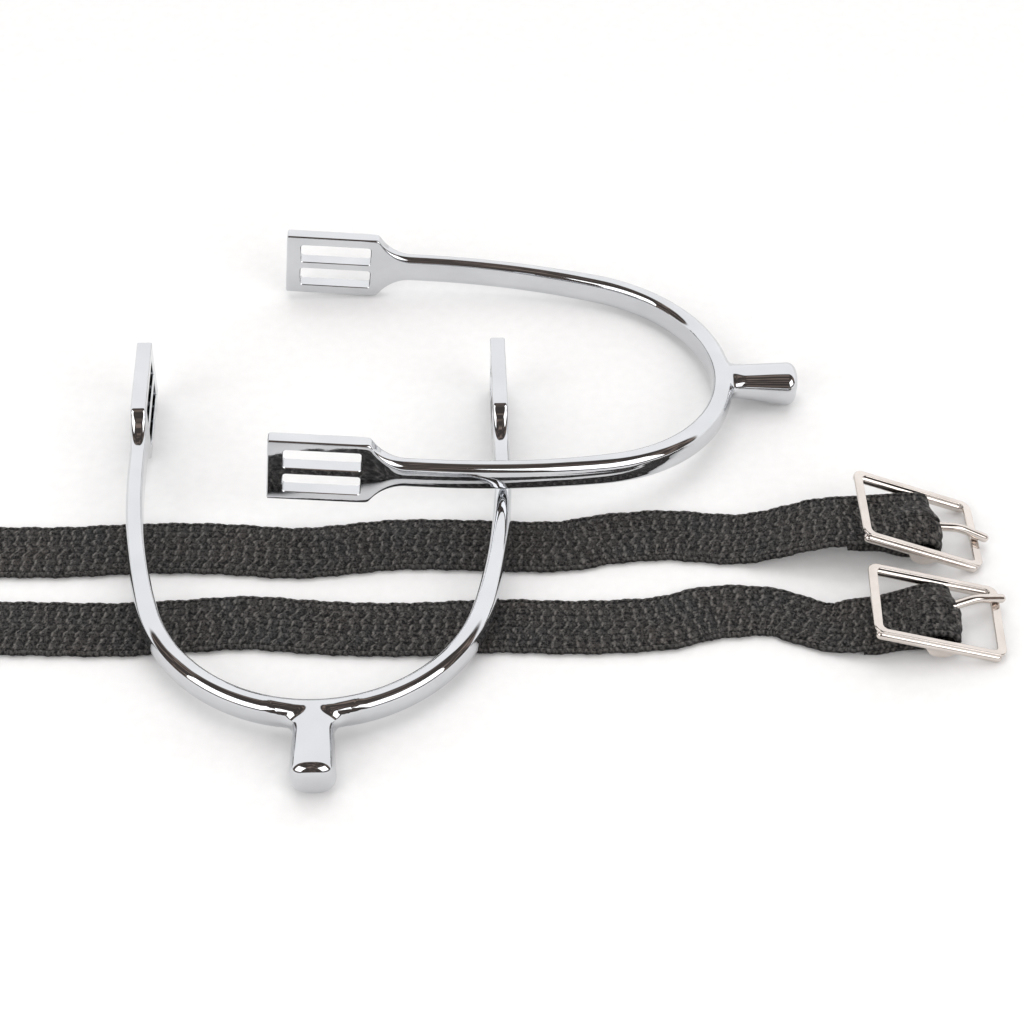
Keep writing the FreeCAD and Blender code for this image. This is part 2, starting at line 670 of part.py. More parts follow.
for item in doc.Objects:
    if "Invalid" in item.State or "Error" in item.State:
        raise RuntimeError(f"{item.Label}: {item.State}")
for item in sub_parts:
    if item.Shape.isNull() or not item.Shape.isValid():
        raise RuntimeError(f"{item.Label}: bad shape")
    box = item.Shape.BoundBox
    print(f"{item.Label}: {len(item.Shape.Solids)} solid(s), {item.Shape.Volume:.1f} mm3, "
          f"x {box.XMin:.2f}..{box.XMax:.2f} y {box.YMin:.2f}..{box.YMax:.2f} "
          f"z {box.ZMin:.2f}..{box.ZMax:.2f}")
    item.Shape.exportStep(f"parts/{item.Label}.step")
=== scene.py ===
import math

import bmesh
import bpy
import numpy as np
from mathutils import Matrix, Vector


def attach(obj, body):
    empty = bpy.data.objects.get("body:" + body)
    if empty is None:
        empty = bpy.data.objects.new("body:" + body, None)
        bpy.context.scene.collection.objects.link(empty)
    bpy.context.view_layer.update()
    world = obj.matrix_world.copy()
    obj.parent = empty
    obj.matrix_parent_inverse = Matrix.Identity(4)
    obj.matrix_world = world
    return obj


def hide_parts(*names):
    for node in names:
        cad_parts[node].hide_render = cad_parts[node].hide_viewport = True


# The looks of a pair of chrome spurs with two black webbing straps: the pieces below stand for
# the CAD solids, ride on their bodies and keep their sizes. Lengths are millimetres until a mesh
# is made.
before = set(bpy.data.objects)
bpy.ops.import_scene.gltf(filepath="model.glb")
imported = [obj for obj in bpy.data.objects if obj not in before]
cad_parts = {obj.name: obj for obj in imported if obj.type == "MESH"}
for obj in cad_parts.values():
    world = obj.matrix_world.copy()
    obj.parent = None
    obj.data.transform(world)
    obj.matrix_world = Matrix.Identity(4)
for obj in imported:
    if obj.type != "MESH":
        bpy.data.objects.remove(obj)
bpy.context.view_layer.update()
MM = 0.001

# ---------------------------------------------------------------- where things lie
VIEW_DISTANCE, VIEW_ELEVATION, VIEW_LENS = 554.1, 45.18, 84.53
VIEW_TARGET = Vector((10.99, 0.39, 0.15))

# x, y, z, then the turns yaw, pitch and roll
SPUR_POSES = {
    "spur_lower": (-34.33, 40.82, 9.58, 2.06, 2.05, 0.78),
    "spur_upper": (-44.55, 37.42, 15.00, 90.66, 4.63, 6.13),
}
# bar: middle of the centre bar; yaw: the strap's heading; tilt: the frame's; skew: the tongue's;
# eye_y: the tongue's place along the bar; fold_low: height of the fold's sewn end; loop: how far
# the fold's middle stands off the bar ahead, above and below; hump: how far the swelling over the
# tongue's eye spreads to its two sides; aside: how far the strap turns aside behind the bar;
# pinch: the share by which it narrows beyond the fold
BUCKLES = {
    "far": {"bar": (101.95, -9.2, 5.1), "yaw": 1.5, "tilt": 23.0, "skew": 0.0, "eye_y": -1.6,
            "fold_low": 4.7, "loop": (3.5, 3.0, 2.7), "hump": (6.5, 12.0), "aside": 0.0,
            "pinch": 0.0},
    "near": {"bar": (103.6, -35.3, 3.25), "yaw": -1.5, "tilt": 14.5, "skew": 21.0, "eye_y": 0.3,
             "fold_low": 0.08, "loop": (3.3, 2.5, 2.05), "hump": (6.5, 18.0), "aside": 1.8,
             "pinch": 0.1},
}
# the middle of each strap's free webbing, from the sewn fold to the cut end
ROUTES = {
    "far": [(86.46, -9.61, 7.25), (81.0, -9.75, 7.3), (70.5, -9.8, 3.4), (62.5, -9.4, 0.95),
            (55.0, -8.7, 0.95), (46.0, -7.6, 0.95), (38.0, -8.4, 0.95), (31.0, -9.2, 0.95),
            (24.0, -11.4, 0.95), (14.0, -11.6, 0.95), (-3.0, -10.8, 0.95), (-16.0, -10.7, 0.95),
            (-26.0, -12.3, 0.95), (-38.0, -13.9, 0.95), (-50.0, -12.5, 0.95), (-62.0, -11.8, 0.95),
            (-77.0, -12.2, 0.95), (-90.0, -13.4, 0.95), (-105.0, -13.2, 0.95),
            (-150.0, -14.6, 0.95), (-205.0, -12.0, 0.95), (-262.0, -14.4, 0.95),
            (-310.0, -13.0, 0.95), (-337.0, -12.0, 0.95)],
    "near": [(88.11, -36.69, 2.63), (84.4, -36.59, 1.8), (80.6, -36.4, 1.0),
             (74.5, -34.0, 0.95), (69.0, -31.2, 0.95), (60.0, -31.1, 0.95),
             (53.0, -31.9, 0.95), (46.0, -34.7, 0.95), (38.0, -35.6, 0.95),
             (24.0, -36.3, 0.95), (8.0, -35.4, 0.95), (-10.0, -36.8, 0.95), (-24.0, -36.7, 0.95),
             (-36.0, -35.8, 0.95), (-47.0, -34.4, 0.95), (-60.0, -35.7, 0.95),
             (-76.0, -37.0, 0.95), (-92.0, -36.5, 0.95), (-106.0, -36.3, 0.95),
             (-150.0, -35.4, 0.95), (-196.0, -37.6, 0.95), (-252.0, -35.0, 0.95),
             (-306.0, -37.2, 0.95), (-334.0, -36.4, 0.95)],
}

# ---------------------------------------------------------------- sizes
# heel band
INNER_HALF, ARM_THICK, HEEL_THICK, BAND_HALF = 40.0, 3.7, 4.7, 3.5
HEEL_RADIUS, HEEL_INSIDE, ARM_STRAIGHT_END = 35.5, -103.7, -36.0
HEEL_Y = HEEL_INSIDE + HEEL_RADIUS
OUTER_ROUND, INNER_ROUND, SIDE_BULGE = 2.3, 1.8, 0.13
PLATE_OUTER_ROUND, PLATE_INNER_ROUND = 0.6, 0.5
# slotted plates
PLATE_THICK, PLATE_HALF, PLATE_END, SHOULDER_END = 3.5, 8.2, -22.1, -31.0
ROUND_END = -19.0
SHOULDER_RADIUS, SHOULDER_CORNER = 9.5, 1.2
SLOT_FRONT, SLOT_BACK, SLOT_LOW, SLOT_HIGH, SLOT_CORNER = -3.5, -20.9, 0.9, 5.8, 0.7
SLOT_CHAMFER = 0.16
# neck
SPUR_END, NECK_EDGE, NECK_SQUARE = -124.0, 2.3, 0.78
NECK_BASE, NECK_TIP = (4.35, 3.6), (4.95, 4.75)         # half width and half height
NECK_FOOT_WIDE, NECK_FOOT_HIGH, NECK_FOOT_POINT, NECK_FILLET = 8.3, 5.2, 1.45, 2.9
# webbing
WEB_WIDTH, WEB_LAYER, WEB_GROUND, WEB_RELIEF = 15.5, 1.7, 0.42, 0.42
BLOCK_LONG, BLOCK_WIDE, BLOCKS_ACROSS = 2.6, 1.9, 7
CORE_HALF = BLOCKS_ACROSS * BLOCK_WIDE / 2
FOLD_LENGTH, FOLD_HUMP = 15.5, 1.7
SEWN_NARROWING, SEWN_REACH = 0.06, 3.5      # how much the sewn end narrows, and over how far
THREAD_RADIUS = 0.24
# buckle
FRAME_LENGTH, FRAME_WIDTH, BAR_OFFSET, BAR_DROP = 30.5, 21.5, 0.5, 1.9
END_BAR, SIDE_STRIP, STRIP_INSET, FRAME_TOP, PLATE_DEPTH = 2.1, 1.35, 0.5, 2.9, 0.8
ROD_RADIUS, ROD_SINK, BAR_RADIUS, FRAME_CORNER, PLATE_EASE = 1.12, 0.3, 1.1, 2.3, 0.24
ROD_INSET, ROD_SHORTER, BAR_INSET = 0.12, 0.8, 1.4
LUG_HALF, LUG_INSET = 0.85, 1.15
WIRE_RADIUS, EYE_RADIUS = 1.03, 2.2


# ---------------------------------------------------------------- helpers
def turned(x, y, z, yaw=0.0, pitch=0.0, roll=0.0):
    """A place: turned by roll about Y, then pitch about X, then yaw about Z, then moved."""
    return (Matrix.Translation((x, y, z)) @ Matrix.Rotation(math.radians(yaw), 4, "Z")
            @ Matrix.Rotation(math.radians(pitch), 4, "X")
            @ Matrix.Rotation(math.radians(roll), 4, "Y"))


def smoothstep(value, low, high):
    share = np.clip((np.asarray(value, float) - low) / (high - low), 0, 1)
    return share * share * (3 - 2 * share)


def new_piece(name, points, faces, place=Matrix.Identity(4)):
    """A mesh piece from points in its own frame, put in its place."""
    turn = np.array(place)
    points = np.asarray(points, float) @ turn[:3, :3].T + turn[:3, 3]
    mesh = bpy.data.meshes.new(name)
    mesh.from_pydata((points * MM).tolist(), [], faces)
    mesh.update()
    piece = bpy.data.objects.new(name, mesh)
    bpy.context.scene.collection.objects.link(piece)
    return piece


def face_outwards(piece):
    bm = bmesh.new()
    bm.from_mesh(piece.data)
    bmesh.ops.recalc_face_normals(bm, faces=bm.faces)
    bm.to_mesh(piece.data)
    bm.free()


def clean_mesh(piece):
    """Drops the needle-thin faces that a union leaves; the shape stays as it is."""
    bm = bmesh.new()
    bm.from_mesh(piece.data)
    bmesh.ops.dissolve_degenerate(bm, dist=2e-7, edges=bm.edges)
    loose = [edge for edge in bm.edges if not edge.link_faces]
    bmesh.ops.delete(bm, geom=loose, context="EDGES")
    bm.to_mesh(piece.data)
    bm.free()


def apply_modifiers(piece):
    """Keeps the shape that the piece's modifiers give it."""
    graph = bpy.context.evaluated_depsgraph_get()
    mesh = bpy.data.meshes.new_from_object(piece.evaluated_get(graph))
    piece.modifiers.clear()
    piece.data = mesh


def finish_piece(piece, material, body, slot, *nodes, sharp=None):
    """Shading, finish and body of a piece that stands for CAD nodes."""
    piece.data.shade_smooth()
    if sharp:
        piece.data.set_sharp_from_angle(angle=math.radians(sharp))
    piece.data.materials.clear()
    piece.data.materials.append(material)
    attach(piece, body)
    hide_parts(*nodes)
    return piece


def grid_faces(rows, columns, closed=False):
    """Quads between neighbouring rows of points."""
    wrap = columns if closed else columns - 1
    return [(k * columns + j, k * columns + (j + 1) % columns,
             (k + 1) * columns + (j + 1) % columns, (k + 1) * columns + j)
            for k in range(rows - 1) for j in range(wrap)]


def combined(shells):
    """Several shells of (points, faces) as one."""
    points, faces = [], []
    for shell_points, shell_faces in shells:
        faces += [tuple(i + len(points) for i in face) for face in shell_faces]
        points += [tuple(p) for p in shell_points]
    return points, faces


def tube(path, radius, sides=20, dome=5):
    """A round bar along a path of points, with domed ends."""
    path = np.asarray(path, float)
    ahead = np.gradient(path, axis=0)
    ahead /= np.linalg.norm(ahead, axis=1)[:, None]
    lead = np.cross(ahead[0], (0.3, 1.0, 0.2))
    centres, radii, axes = [], [], []
    for step in range(dome):
        angle = math.pi / 2 * step / dome
        centres.append(path[0] - ahead[0] * radius * math.cos(angle))
        radii.append(max(radius * math.sin(angle), 0.02 * radius))
        axes.append(ahead[0])
    centres += list(path)
    radii += [radius] * len(path)
    axes += list(ahead)
    for step in reversed(range(dome)):
        angle = math.pi / 2 * step / dome
        centres.append(path[-1] + ahead[-1] * radius * math.cos(angle))
        radii.append(max(radius * math.sin(angle), 0.02 * radius))
        axes.append(ahead[-1])
    points = []
    for centre, size, axis in zip(centres, radii, axes):
        lead = lead - axis * (lead @ axis)
        lead /= np.linalg.norm(lead)
        other = np.cross(axis, lead)
        for side in range(sides):
            angle = 2 * math.pi * side / sides
            points.append(centre + size * (math.cos(angle) * lead + math.sin(angle) * other))
    faces = grid_faces(len(centres), sides, closed=True)
    faces.append(tuple(range(sides)))
    faces.append(tuple(reversed(range((len(centres) - 1) * sides, len(centres) * sides))))
    return points, faces


def rounded_rectangle(x0, x1, y0, y1, corner, steps=6):
    """A loop of points round a rectangle with round corners."""
    loop = []
    for x, y, start in ((x1 - corner, y0 + corner, -90), (x1 - corner, y1 - corner, 0),
                        (x0 + corner, y1 - corner, 90), (x0 + corner, y0 + corner, 180)):
        for step in range(steps + 1):
            angle = math.radians(start + 90 * step / steps)
            loop.append((x + corner * math.cos(angle), y + corner * math.sin(angle)))
    return loop


def route_line(points):
    """The smooth line that a soft piece follows, as close points of a NURBS spline."""
    curve = bpy.data.curves.new("route", "CURVE")
    curve.dimensions = "3D"
    curve.resolution_u = 48
    spline = curve.splines.new("NURBS")
    spline.points.add(len(points) - 1)
    for spot, point in zip(spline.points, points):
        spot.co = (*(x * MM for x in point), 1)
    spline.order_u = 3
    spline.use_endpoint_u = True
    carrier = bpy.data.objects.new("route", curve)
    mesh = bpy.data.meshes.new_from_object(carrier)
    line = np.array([v.co for v in mesh.vertices]) / MM
    bpy.data.objects.remove(carrier)
    bpy.data.meshes.remove(mesh)
    bpy.data.curves.remove(curve)
    return line


def spaced(line, step):
    """The line again with points a fixed step apart, its last point kept, and their distances."""
    along = np.concatenate([[0], np.cumsum(np.linalg.norm(np.diff(line, axis=0), axis=1))])
    at = np.append(np.arange(0, along[-1] - step / 2, step), along[-1])
    return np.stack([np.interp(at, along, line[:, k]) for k in range(3)], axis=1), at


# ---------------------------------------------------------------- camera
def make_camera():
    camera = bpy.data.objects.new("camera", bpy.data.cameras.new("camera"))
    bpy.context.scene.collection.objects.link(camera)
    camera.data.lens = VIEW_LENS
    camera.data.sensor_width = 36.0
    camera.data.clip_start, camera.data.clip_end = 0.01, 20
    rise = math.radians(VIEW_ELEVATION)
    back = Vector((0, -math.cos(rise), math.sin(rise)))
    camera.location = (VIEW_TARGET + back * VIEW_DISTANCE) * MM
    camera.rotation_euler = (-back).to_track_quat("-Z", "Y").to_euler()
    bpy.context.scene.camera = camera


# ---------------------------------------------------------------- materials
class Nodes:
    """A node tree, with short calls for the nodes that the finishes and the world share."""

    def __init__(self, tree):
        self.tree = tree

    def put(self, socket, value):
        """Links a node's output to a socket, or sets a plain value on it."""
        if isinstance(value, bpy.types.NodeSocket):
            self.tree.links.new(value, socket)
        else:
            socket.default_value = value

    def math(self, operation, *values):
        node = self.tree.nodes.new("ShaderNodeMath")
        node.operation = operation
        for socket, value in zip(node.inputs, values):
            self.put(socket, value)
        return node.outputs[0]

    def stretched(self, vector, scale):
        node = self.tree.nodes.new("ShaderNodeMapping")
        node.inputs["Scale"].default_value = scale
        self.tree.links.new(vector, node.inputs["Vector"])
        return node.outputs["Vector"]

    def noise(self, vector, scale, detail=3.0, roughness=0.5):
        node = self.tree.nodes.new("ShaderNodeTexNoise")
        self.tree.links.new(vector, node.inputs["Vector"])
        node.inputs["Scale"].default_value = scale
        node.inputs["Detail"].default_value = detail
        node.inputs["Roughness"].default_value = roughness
        return node.outputs["Fac"]

    def spread(self, value, low, high, to_low=0.0, to_high=1.0):
        """The value's range from low to high, stretched to another range."""
        node = self.tree.nodes.new("ShaderNodeMapRange")
        self.tree.links.new(value, node.inputs["Value"])
        for name, number in zip(("From Min", "From Max", "To Min", "To Max"),
                                (low, high, to_low, to_high)):
            node.inputs[name].default_value = number
        return node.outputs["Result"]

    def blend(self, share, first, second):
        """A colour between two colours."""
        node = self.tree.nodes.new("ShaderNodeMix")
        node.data_type = "RGBA"
        self.put(node.inputs["Factor"], share)
        colours = [socket for socket in node.inputs if socket.type == "RGBA"]
        for socket, colour in zip(colours, (first, second)):
            self.put(socket, colour)
        return [socket for socket in node.outputs if socket.type == "RGBA"][0]

    def bump(self, height, distance, under=None):
        node = self.tree.nodes.new("ShaderNodeBump")
        node.inputs["Distance"].default_value = distance * MM
        node.inputs["Strength"].default_value = 1.0
        self.tree.links.new(height, node.inputs["Height"])
        if under is not None:
            self.tree.links.new(under, node.inputs["Normal"])
        return node.outputs["Normal"]


class Shader(Nodes):
    """A material's node tree and its surface."""

    def __init__(self, name):
        self.material = bpy.data.materials.new(name)
        self.material.use_nodes = True
        super().__init__(self.material.node_tree)
        self.surface = self.tree.nodes["Principled BSDF"]

    def set(self, **values):
        for name, value in values.items():
            self.put(self.surface.inputs[name.replace("_", " ")], value)

    def place(self):
        """The point's place in the object."""
        return self.tree.nodes.new("ShaderNodeTexCoord").outputs["Object"]


def chrome():
    """Bright plating over a hand-polished casting: slightly wavy, with hair-fine buffing lines."""
    look = Shader("chrome")
    place = look.place()
    waves = look.noise(place, 95, 1.5)
    lines = look.noise(look.stretched(place, (1.0, 1.0, 9.0)), 900, 2.0)
    specks = look.noise(place, 2600, 2.0)
    tone = look.blend(look.spread(waves, 0.3, 0.7), (0.58, 0.59, 0.61, 1), (0.63, 0.64, 0.66, 1))
    rough = look.math("ADD", look.spread(lines, 0.45, 0.8, 0.025, 0.07),
                      look.spread(specks, 0.68, 0.8, 0.0, 0.1))
    look.set(Base_Color=tone, Metallic=1.0, Roughness=rough,
             Normal=look.bump(lines, 0.0006, look.bump(waves, 0.16)))
    return look.material


def nickel():
    """Warm nickel plate on a small casting: satin, with a fine grain and soft wear."""
    look = Shader("nickel")
    place = look.place()
    grain = look.noise(place, 1500, 3.0)
    patches = look.noise(place, 160, 2.0)
    tone = look.blend(look.spread(patches, 0.3, 0.7),
                      (0.62, 0.567, 0.528, 1), (0.71, 0.656, 0.617, 1))
    rough = look.spread(patches, 0.3, 0.75, 0.10, 0.2)
    look.set(Base_Color=tone, Metallic=1.0, Roughness=rough,
             Normal=look.bump(grain, 0.003, look.bump(patches, 0.03)))
    return look.material


def webbing():
    """Black nylon webbing: raised floats catch the light; painted highlights lighten their yarns
    and ends, and painted shade darkens the gaps between them.
    """
    look = Shader("webbing")
    weave = look.tree.nodes.new("ShaderNodeUVMap")
    weave.uv_map = "weave"
    relief = look.tree.nodes.new("ShaderNodeAttribute")
    relief.attribute_name = "relief"
    painted_end_glint = look.tree.nodes.new("ShaderNodeAttribute")
    painted_end_glint.attribute_name = "painted_end_glint"
    yarns = look.noise(look.stretched(weave.outputs["UV"], (1000, 620, 1)), 1.5, 3.0, 0.65)
    pebbles = look.noise(look.place(), 1500, 2.0, 0.65)
    patches = look.noise(look.place(), 90, 2.0)
    raised = relief.outputs["Fac"]
    # near black: painted shade for the gaps between the floats, and also the colour of the random
    # dark specks
    dark = (0.003, 0.003, 0.0035, 1)
    body = look.blend(look.spread(patches, 0.3, 0.7),
                      (0.034, 0.035, 0.036, 1), (0.046, 0.041, 0.038, 1))
    # painted shade: where the relief is low, in the gaps between the floats, the colour goes near
    # black
    tone = look.blend(look.spread(raised, 0.05, 0.6), dark, body)
    tone = look.blend(look.spread(pebbles, 0.41, 0.54), dark, tone)
    # painted highlight: lighter yarn streaks on the raised floats, where light would catch them
    painted_glint = look.math("MULTIPLY", look.spread(yarns, 0.48, 0.66), look.spread(raised, 0.2, 0.7))
    tone = look.blend(look.math("MULTIPLY", painted_glint, 0.55), tone, (0.13, 0.125, 0.12, 1))
    # painted highlight: a light streak near each float's end, where light would catch it, broken
    # up by the specks
    edge = look.math("MULTIPLY", painted_end_glint.outputs["Fac"], look.spread(pebbles, 0.32, 0.55))
    tone = look.blend(edge, tone, (0.20, 0.19, 0.18, 1))
    height = look.math("ADD", yarns, pebbles)
    look.set(Base_Color=tone, Roughness=look.spread(pebbles, 0.3, 0.7, 0.55, 0.85),
             Sheen_Weight=0.03, Sheen_Roughness=0.4, Specular_IOR_Level=0.13,
             Normal=look.bump(height, 0.22))
    return look.material


def thread():
    """Black bonded thread with its twist."""
    look = Shader("thread")
    place = look.place()
    fibre = look.noise(look.stretched(place, (1.0, 3.0, 1.0)), 1900, 3.0)
    tone = look.blend(look.spread(fibre, 0.3, 0.7),
                      (0.006, 0.006, 0.007, 1), (0.030, 0.029, 0.028, 1))
    look.set(Base_Color=tone, Roughness=look.spread(fibre, 0.3, 0.7, 0.45, 0.7),
             Specular_IOR_Level=0.2, Normal=look.bump(fibre, 0.06))
    return look.material


# ---------------------------------------------------------------- webbing
def web_columns():
    """Places across the webbing: even steps in its blocks, then in its selvedges."""
    core = np.linspace(-CORE_HALF, CORE_HALF, 5 * BLOCKS_ACROSS + 1)
    edge = np.linspace(CORE_HALF, WEB_WIDTH / 2, 5)[1:]
    return np.concatenate([-edge[::-1], core, edge])


def weave_relief(along, across, face):
    """The woven face as height over its ground from 0 to 1, and where the painted highlights at
    its floats' ends go.

    The middle is a checkerboard of floats whose ends make wavy lines across. The edges are ribbed.
    """
    row = np.clip(np.floor(across / BLOCK_WIDE + 0.5), -(BLOCKS_ACROSS // 2), BLOCKS_ACROSS // 2)
    side = across / BLOCK_WIDE - row
    wander = 0.16 * np.cos(np.pi * across / BLOCK_WIDE) + 0.14 * np.sin(across * 0.8 + along / 23)
    phase = along / BLOCK_LONG + row + (face < 0) + wander
    cell = np.floor(phase + 1e-6)
    share = np.clip(phase - cell, 0, 1)
    raised = cell % 2 == 0
    bulge = 0.5 + 0.5 * np.clip(np.cos(np.pi * side), 0, 1) ** 0.6
    core = np.where(raised, 1.0, 0.78) * bulge * np.sin(np.pi * share) ** 0.5
    # painted highlight mask: a bright streak near each float's far end; on the ribbed edges, one
    # on each rib
    ends = np.where(raised, 1.0, 0.8) * bulge * np.exp(-((share - 0.86) / 0.1) ** 2)

    inside = np.clip((np.abs(across) - CORE_HALF) / (WEB_WIDTH / 2 - CORE_HALF), 0, 1)
    wave = np.abs(np.sin(np.pi * (along / (BLOCK_LONG / 2) + 0.4 * inside)))
    ribs = (0.3 + 0.55 * wave ** 0.7) * np.sin(np.pi * inside) ** 0.4
    in_core = np.abs(across) < CORE_HALF - 1e-6
    return np.where(in_core, core, ribs), np.where(in_core, ends, 0.5 * wave ** 5)


def selvedge(across):
    """How the webbing thins at its two edges."""
    past = np.clip(np.abs(across) - (WEB_WIDTH / 2 - 0.8), 0, 0.8) / 0.82
    return np.sqrt(1 - past ** 2)


def woven_piece(name, middle, outward, along, across, kept):
    """A closed strip of webbing over a grid of middle points, open where cells aren't kept."""
    rows, columns = along.shape
    ground = selvedge(across)
    upper, upper_glints = weave_relief(along, across, 1)
    lower, lower_glints = weave_relief(along, across, -1)
    top = middle + outward * (ground * (WEB_GROUND + WEB_RELIEF * upper))[..., None]
    under = middle - outward * (ground * (WEB_GROUND + WEB_RELIEF * lower))[..., None]
    points = np.concatenate([top.reshape(-1, 3), under.reshape(-1, 3)])
    count = rows * columns
    faces = []
    for k in range(rows - 1):
        for j in range(columns - 1):
            if not kept[k, j]:
                continue
            a, b, c, d = (k * columns + j, (k + 1) * columns + j,
                          (k + 1) * columns + j + 1, k * columns + j + 1)
            faces += [(a, d, c, b), (a + count, b + count, c + count, d + count)]
            around = ((k - 1, j, a, d), (k + 1, j, c, b), (k, j - 1, b, a), (k, j + 1, d, c))
            for other_k, other_j, p, q in around:
                if not (0 <= other_k < rows - 1 and 0 <= other_j < columns - 1
                        and kept[other_k, other_j]):
                    faces.append((q, p, p + count, q + count))
    piece = new_piece(name, points, faces)
    face_outwards(piece)
    mesh = piece.data
    spots = np.tile(np.stack([along.ravel(), across.ravel()], axis=1) * MM, (2, 1))
    layer = mesh.uv_layers.new(name="weave")
    corners = np.zeros(len(mesh.loops), int)
    mesh.loops.foreach_get("vertex_index", corners)
    layer.data.foreach_set("uv", spots[corners].ravel())
    # relief steers the painted shade and highlights of the finish; the second attribute marks
    # where the painted end highlights go
    for label, over, below in (("relief", upper, lower), ("painted_end_glint", upper_glints, lower_glints)):
        values = mesh.attributes.new(label, "FLOAT", "POINT")
        values.data.foreach_set("value", np.concatenate([over.ravel(), below.ravel()]))
    return piece


def make_webbing(side, material):
    """The free webbing of one strap, on the smooth line of its route."""
    line, at = spaced(route_line(ROUTES[side]), BLOCK_LONG / 6)
    ahead = np.gradient(line, axis=0)
    ahead /= np.linalg.norm(ahead, axis=1)[:, None]
    level = np.cross((0, 0, 1), ahead)
    level /= np.linalg.norm(level, axis=1)[:, None]
    up = np.cross(ahead, level)
    columns = web_columns()
    along, across = np.meshgrid(at, columns, indexing="ij")
    scallop = np.sin(along * math.tau / 7.3 + 2 * np.sin(along / 17))
    ragged = 1 + 0.016 * scallop + 0.012 * np.sin(along * math.tau / 2.6 + np.sign(across))
    start = smoothstep(along, 0, 3)
    narrow = 1 - BUCKLES[side]["pinch"] * smoothstep(along, 3, 9) * (1 - smoothstep(along, 18, 32))
    ragged = (1 + (ragged - 1) * start) * narrow
    arch = 1 - (2 * across / WEB_WIDTH) ** 2
    swell = 0.3 * start * arch * (0.5 + 0.5 * np.sin(along / 9.5 + np.cos(along / 23)))
    middle = (line[:, None, :] + level[:, None, :] * (across * ragged)[..., None]
              + up[:, None, :] * swell[..., None])
    outward = np.broadcast_to(up[:, None, :], middle.shape)
    kept = np.ones((len(at) - 1, len(columns) - 1), bool)
    piece = woven_piece(f"strap_{side}_webbing_woven", middle, outward, along, across, kept)
    finish_piece(piece, material, f"{side}_strap", "nylon", f"strap_{side}_webbing")
    return piece, line


def fold_surface(side):
    """The folded end in its bar's frame: middle points, outward directions and distances."""
    buckle = BUCKLES[side]
    sewn = buckle["fold_low"] - buckle["bar"][2]
    upper, lower = sewn + 1.5 * WEB_LAYER, sewn + 0.5 * WEB_LAYER
    ahead, above, below = buckle["loop"]
    rise = (above - upper) / FOLD_LENGTH
    joined = upper + 6.5 * rise - WEB_LAYER
    # over the bar from the upper layer's end, round it, and back below to the lower layer's end
    route = [(-FOLD_LENGTH - 0.12, 0, upper), (-11.5, 0, upper + 4 * rise),
             (-6, 0, upper + 9.5 * rise), (-2.4, 0, above), (ahead, 0, above),
             (ahead, 0, -below), (-2.4, 0, -below), (-5.5, 0, (joined - below) / 2),
             (-9, 0, joined), (-FOLD_LENGTH - 0.5, 0, lower)]
    line, at = spaced(route_line(route), BLOCK_LONG / 6)
    ahead = np.gradient(line, axis=0)
    ahead /= np.linalg.norm(ahead, axis=1)[:, None]
    outward = np.stack([-ahead[:, 2], np.zeros(len(line)), ahead[:, 0]], axis=1)
    return line, outward, at


def fold_bulge(side, line, outward, across):
    """How far the webbing stands out round the tongue's eye, which it hides."""
    eye, (beyond, nearer) = -BUCKLES[side]["eye_y"], BUCKLES[side]["hump"]
    near_loop = smoothstep(line[:, 0], -9.0, 0.0) * smoothstep(outward[:, 2], -0.95, -0.3)
    away = across - eye
    beside = 1 - smoothstep(np.abs(away), 0, np.where(away > 0, nearer, beyond))
    return FOLD_HUMP * near_loop[:, None] * beside


def make_fold(side, material):
    """The webbing folded round the centre bar, slit where the tongue comes through."""
    buckle = BUCKLES[side]
    line, outward, at = fold_surface(side)
    columns = web_columns()
    eye = -buckle["eye_y"]
    left = np.searchsorted(columns, eye) - 1
    columns[left], columns[left + 1] = eye - 0.4, eye + 0.4
    along, across = np.meshgrid(-at, columns, indexing="ij")

    bearing = np.degrees(np.arctan2(outward[:, 2], outward[:, 0]))
    in_slit = line[:, 0] > -3.5
    kept = np.ones((len(at) - 1, len(columns) - 1), bool)
    kept[in_slit[:-1] & in_slit[1:], left] = False
    around_wire = np.maximum(np.exp(-((bearing - 38) / 15) ** 2), smoothstep(-bearing, -5, 25))
    half_gap = 0.12 + (0.13 + 0.75 * around_wire) * in_slit
    across[:, left], across[:, left + 1] = eye - half_gap, eye + half_gap

    out = outward[:, None, :] * np.ones((1, len(columns), 1))
    aside = buckle["aside"] * smoothstep(-line[:, 0], 1, FOLD_LENGTH - 1)
    middle = (line[:, None, :] + out * fold_bulge(side, line, outward, across)[..., None]
              + np.array([0, -1, 0]) * (across + aside[:, None])[..., None])
    tight = (BAR_RADIUS + WEB_LAYER / 2) / buckle["loop"][1]
    sewn = 1 - SEWN_NARROWING + SEWN_NARROWING * smoothstep(at[-1] - at, 0, SEWN_REACH)
    middle[..., 1] -= across * sewn[:, None] - across
    near_loop = smoothstep(line[:, 0], -9.0, -1.0)[:, None]
    middle[..., 2] *= 1 - (1 - tight) * near_loop * smoothstep(across, 0.5, 7.0)
    turn = np.array(turned(*buckle["bar"], buckle["yaw"]))
    middle = middle @ turn[:3, :3].T + turn[:3, 3]
    out = out @ turn[:3, :3].T
    piece = woven_piece(f"strap_{side}_fold_woven", middle, out, along, across, kept)
    return finish_piece(piece, material, f"{side}_strap", "nylon", f"strap_{side}_fold")


